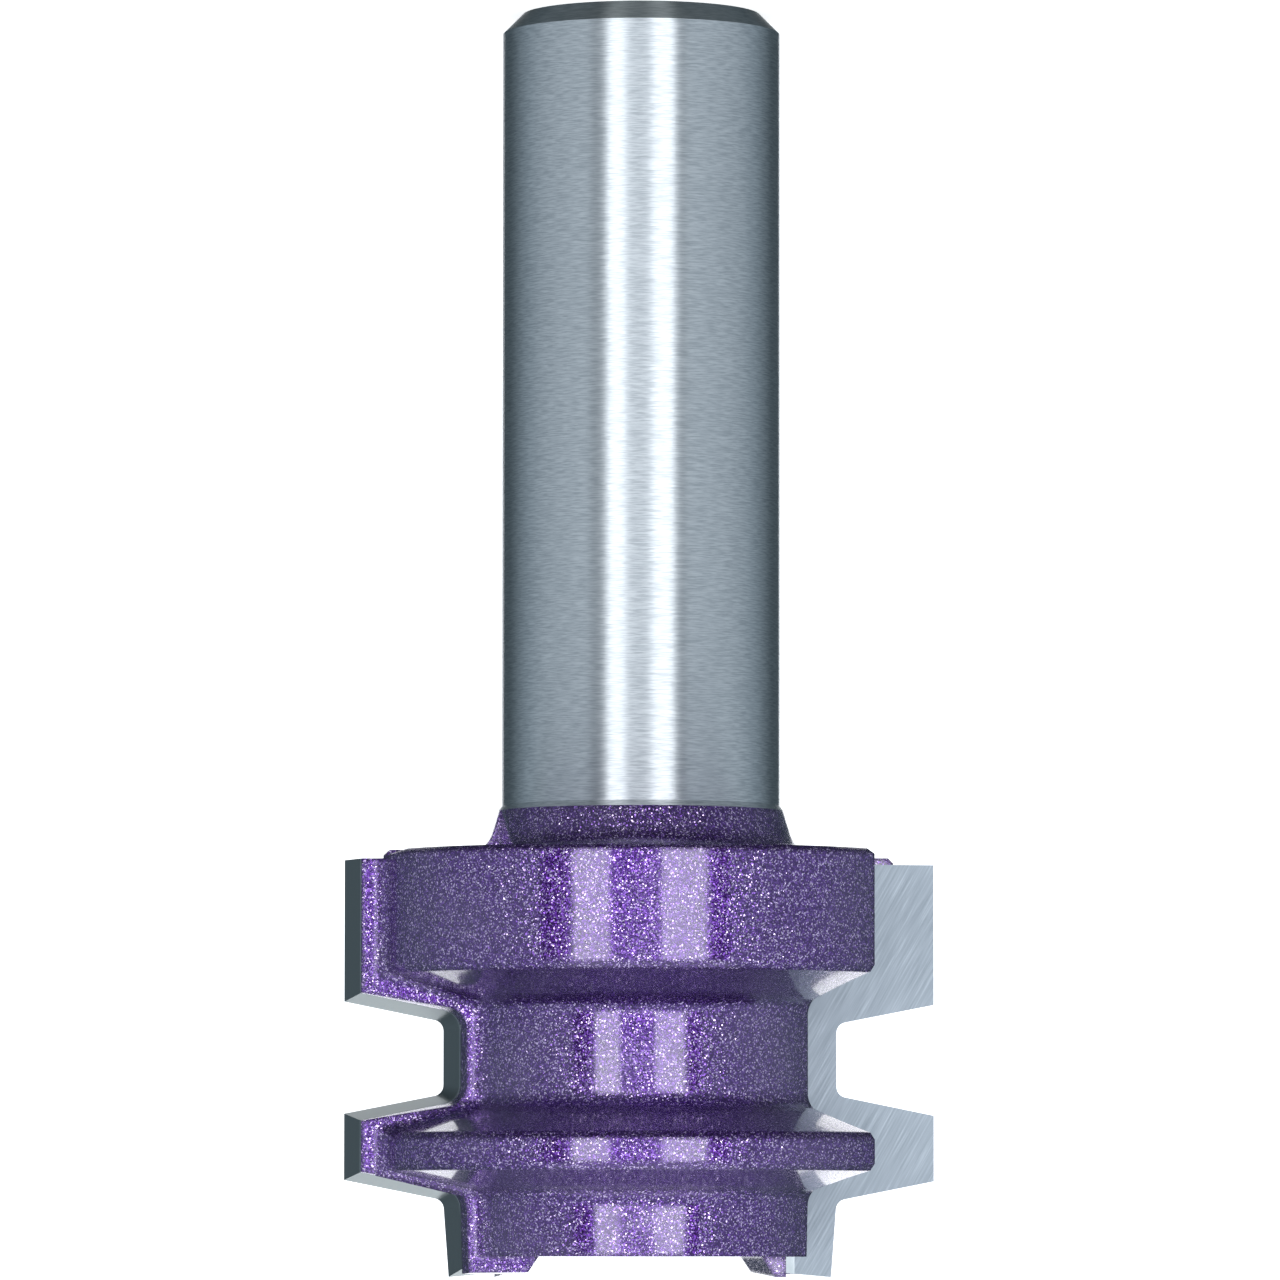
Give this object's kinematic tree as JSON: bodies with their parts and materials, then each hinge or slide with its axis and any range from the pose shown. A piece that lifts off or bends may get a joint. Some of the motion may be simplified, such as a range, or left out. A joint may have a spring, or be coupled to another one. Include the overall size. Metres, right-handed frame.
{
  "type": "router bit",
  "caption": "Router bit with a plain round shank and a stepped, grooved cutting head: carbide tips brazed to a coated steel body whose round flanges limit the depth of cut",
  "frame": {"origin": "centre of the shank's flat end face", "axes": "+Z along the bit from the shank end to the cutting end; +X through the cutting edge of one tip, whose face looks along +Y"},
  "size_m": [0.0274, 0.0248, 0.0578],
  "materials": {
    "coated_steel": "bright ground steel shank, head coated in a purple metallic flake finish",
    "carbide": "ground carbide with fine diagonal grinding marks",
    "solder": "dull silver solder"
  },
  "bodies": {
    "root": {"body": "coated_steel", "carbide_tip_1": "carbide", "carbide_tip_2": "carbide", "braze_joint_1": "solder", "braze_joint_2": "solder"}
  },
  "joints": []
}
